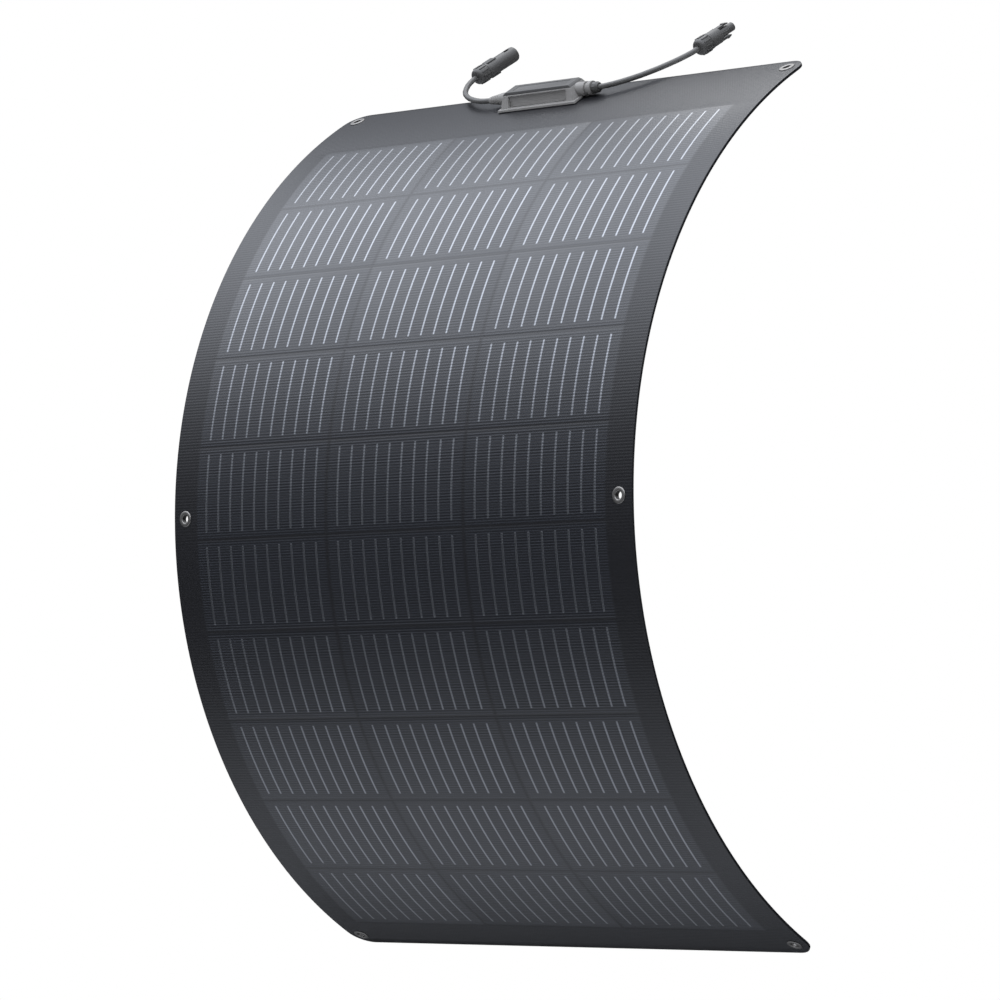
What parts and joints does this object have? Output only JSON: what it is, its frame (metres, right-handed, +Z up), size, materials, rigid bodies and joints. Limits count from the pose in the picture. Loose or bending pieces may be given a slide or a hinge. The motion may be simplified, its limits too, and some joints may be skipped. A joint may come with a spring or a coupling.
{
  "type": "flexible solar sheet",
  "caption": "Thin flexible solar laminate bent to a curve, with rows of half-cut cells, metal eyelets, a low junction box and two short leads that end in a socket and a plug.",
  "frame": {"origin": "on the back face of the laminate, at the middle of its width and of its length", "axes": "+X across the sheet, to the right seen from the cell side; +Y out of the back face at the middle; +Z up the sheet, towards the junction box"},
  "size_m": [0.612, 0.3549, 0.9243],
  "materials": {
    "film": "satin, finely textured",
    "back_sheet": "matt, woven",
    "cell": "dark blue-black silicon",
    "tinned_copper": "tinned, dull",
    "nickel": "nickel plated",
    "adhesive": "matt",
    "box_plastic": "moulded, fine grain",
    "lid_plastic": "moulded, fine grain",
    "seal_rubber": "matt",
    "terminal_brass": "brushed",
    "diode_epoxy": "moulded",
    "relief_rubber": "soft moulded",
    "lead_jacket": "satin",
    "connector_plastic": "satin moulded",
    "seal_red": "matt"
  },
  "bodies": {
    "top_edge": {"front_film_top": "film", "back_sheet_top": "back_sheet", "end_bars_top": "tinned_copper", "eyelets_top": "nickel", "box_bond": "adhesive", "box_base": "box_plastic", "box_lid": "lid_plastic", "box_seal": "seal_rubber", "box_terminals": "terminal_brass", "bypass_diodes": "diode_epoxy", "left_relief": "relief_rubber", "left_lead": "lead_jacket", "socket_shell": "connector_plastic", "socket_nut": "connector_plastic", "socket_contact": "tinned_copper", "gland_nut": "connector_plastic", "right_lead": "lead_jacket", "plug_shell": "connector_plastic", "plug_nut": "connector_plastic", "plug_contact": "tinned_copper", "cable_seals": "seal_red"},
    "row_1": {"front_film_row_1": "film", "back_sheet_row_1": "back_sheet", "cells_row_1": "cell"},
    "row_2": {"front_film_row_2": "film", "back_sheet_row_2": "back_sheet", "cells_row_2": "cell"},
    "row_3": {"front_film_row_3": "film", "back_sheet_row_3": "back_sheet", "cells_row_3": "cell"},
    "row_4": {"front_film_row_4": "film", "back_sheet_row_4": "back_sheet", "cells_row_4": "cell"},
    "row_5": {"front_film_row_5": "film", "back_sheet_row_5": "back_sheet", "cells_row_5": "cell", "eyelets_middle": "nickel"},
    "row_6": {"front_film_row_6": "film", "back_sheet_row_6": "back_sheet", "cells_row_6": "cell"},
    "row_7": {"front_film_row_7": "film", "back_sheet_row_7": "back_sheet", "cells_row_7": "cell"},
    "row_8": {"front_film_row_8": "film", "back_sheet_row_8": "back_sheet", "cells_row_8": "cell"},
    "row_9": {"front_film_row_9": "film", "back_sheet_row_9": "back_sheet", "cells_row_9": "cell"},
    "row_10": {"front_film_row_10": "film", "back_sheet_row_10": "back_sheet", "cells_row_10": "cell"},
    "bottom_edge": {"front_film_bottom": "film", "back_sheet_bottom": "back_sheet", "end_bars_bottom": "tinned_copper", "eyelets_bottom": "nickel"},
    "latch_arm_outer": {"latch_arm_outer": "connector_plastic"},
    "latch_arm_inner": {"latch_arm_inner": "connector_plastic"}
  },
  "joints": [
    {"name": "bend_row_5_row_6", "type": "hinge", "parent": "row_5", "child": "row_6", "pos_m": [0, -0.00099, -0.02209], "axis": [1, 0, 0], "range_deg": [-11, 11.5]},
    {"name": "bend_row_6_row_7", "type": "hinge", "parent": "row_6", "child": "row_7", "pos_m": [0, 0.01205, -0.11322], "axis": [1, 0, 0], "range_deg": [-11, 11.5]},
    {"name": "bend_row_7_row_8", "type": "hinge", "parent": "row_7", "child": "row_8", "pos_m": [0, 0.04226, -0.20018], "axis": [1, 0, 0], "range_deg": [-11, 11.5]},
    {"name": "bend_row_8_row_9", "type": "hinge", "parent": "row_8", "child": "row_9", "pos_m": [0, 0.08852, -0.27977], "axis": [1, 0, 0], "range_deg": [-11, 11.5]},
    {"name": "bend_row_9_row_10", "type": "hinge", "parent": "row_9", "child": "row_10", "pos_m": [0, 0.14914, -0.34906], "axis": [1, 0, 0], "range_deg": [-11, 11.5]},
    {"name": "bend_row_10_bottom_edge", "type": "hinge", "parent": "row_10", "child": "bottom_edge", "pos_m": [0, 0.22187, -0.40549], "axis": [1, 0, 0], "range_deg": [-8.03, 8.39]},
    {"name": "bend_row_5_row_4", "type": "hinge", "parent": "row_5", "child": "row_4", "pos_m": [0, 0.00361, 0.06985], "axis": [-1, 0, 0], "range_deg": [-11, 11.5]},
    {"name": "bend_row_4_row_3", "type": "hinge", "parent": "row_4", "child": "row_3", "pos_m": [0, 0.02569, 0.15922], "axis": [-1, 0, 0], "range_deg": [-11, 11.5]},
    {"name": "bend_row_3_row_2", "type": "hinge", "parent": "row_3", "child": "row_2", "pos_m": [0, 0.06444, 0.24273], "axis": [-1, 0, 0], "range_deg": [-11, 11.5]},
    {"name": "bend_row_2_row_1", "type": "hinge", "parent": "row_2", "child": "row_1", "pos_m": [0, 0.11842, 0.3173], "axis": [-1, 0, 0], "range_deg": [-11, 11.5]},
    {"name": "bend_row_1_top_edge", "type": "hinge", "parent": "row_1", "child": "top_edge", "pos_m": [0, 0.18565, 0.38019], "axis": [-1, 0, 0], "range_deg": [-11, 11.5]},
    {"name": "latch_arm_outer_squeeze", "type": "hinge", "parent": "top_edge", "child": "latch_arm_outer", "pos_m": [0.13496, 0.31726, 0.4793], "axis": [-0.9945, 0.0904, 0.0524], "range_deg": [0, 3.3], "stiffness_Nm_per_rad": 0.05},
    {"name": "latch_arm_inner_squeeze", "type": "hinge", "parent": "top_edge", "child": "latch_arm_inner", "pos_m": [0.13496, 0.32393, 0.46779], "axis": [0.9945, -0.0904, -0.0524], "range_deg": [0, 3.3], "stiffness_Nm_per_rad": 0.05}
  ],
  "couplings": [
    {"joint": "bend_row_6_row_7", "follows": "bend_row_5_row_6", "ratio": 1},
    {"joint": "bend_row_7_row_8", "follows": "bend_row_5_row_6", "ratio": 1},
    {"joint": "bend_row_8_row_9", "follows": "bend_row_5_row_6", "ratio": 1},
    {"joint": "bend_row_9_row_10", "follows": "bend_row_5_row_6", "ratio": 1},
    {"joint": "bend_row_10_bottom_edge", "follows": "bend_row_5_row_6", "ratio": 0.73},
    {"joint": "bend_row_5_row_4", "follows": "bend_row_5_row_6", "ratio": 1},
    {"joint": "bend_row_4_row_3", "follows": "bend_row_5_row_6", "ratio": 1},
    {"joint": "bend_row_3_row_2", "follows": "bend_row_5_row_6", "ratio": 1},
    {"joint": "bend_row_2_row_1", "follows": "bend_row_5_row_6", "ratio": 1},
    {"joint": "bend_row_1_top_edge", "follows": "bend_row_5_row_6", "ratio": 1}
  ]
}
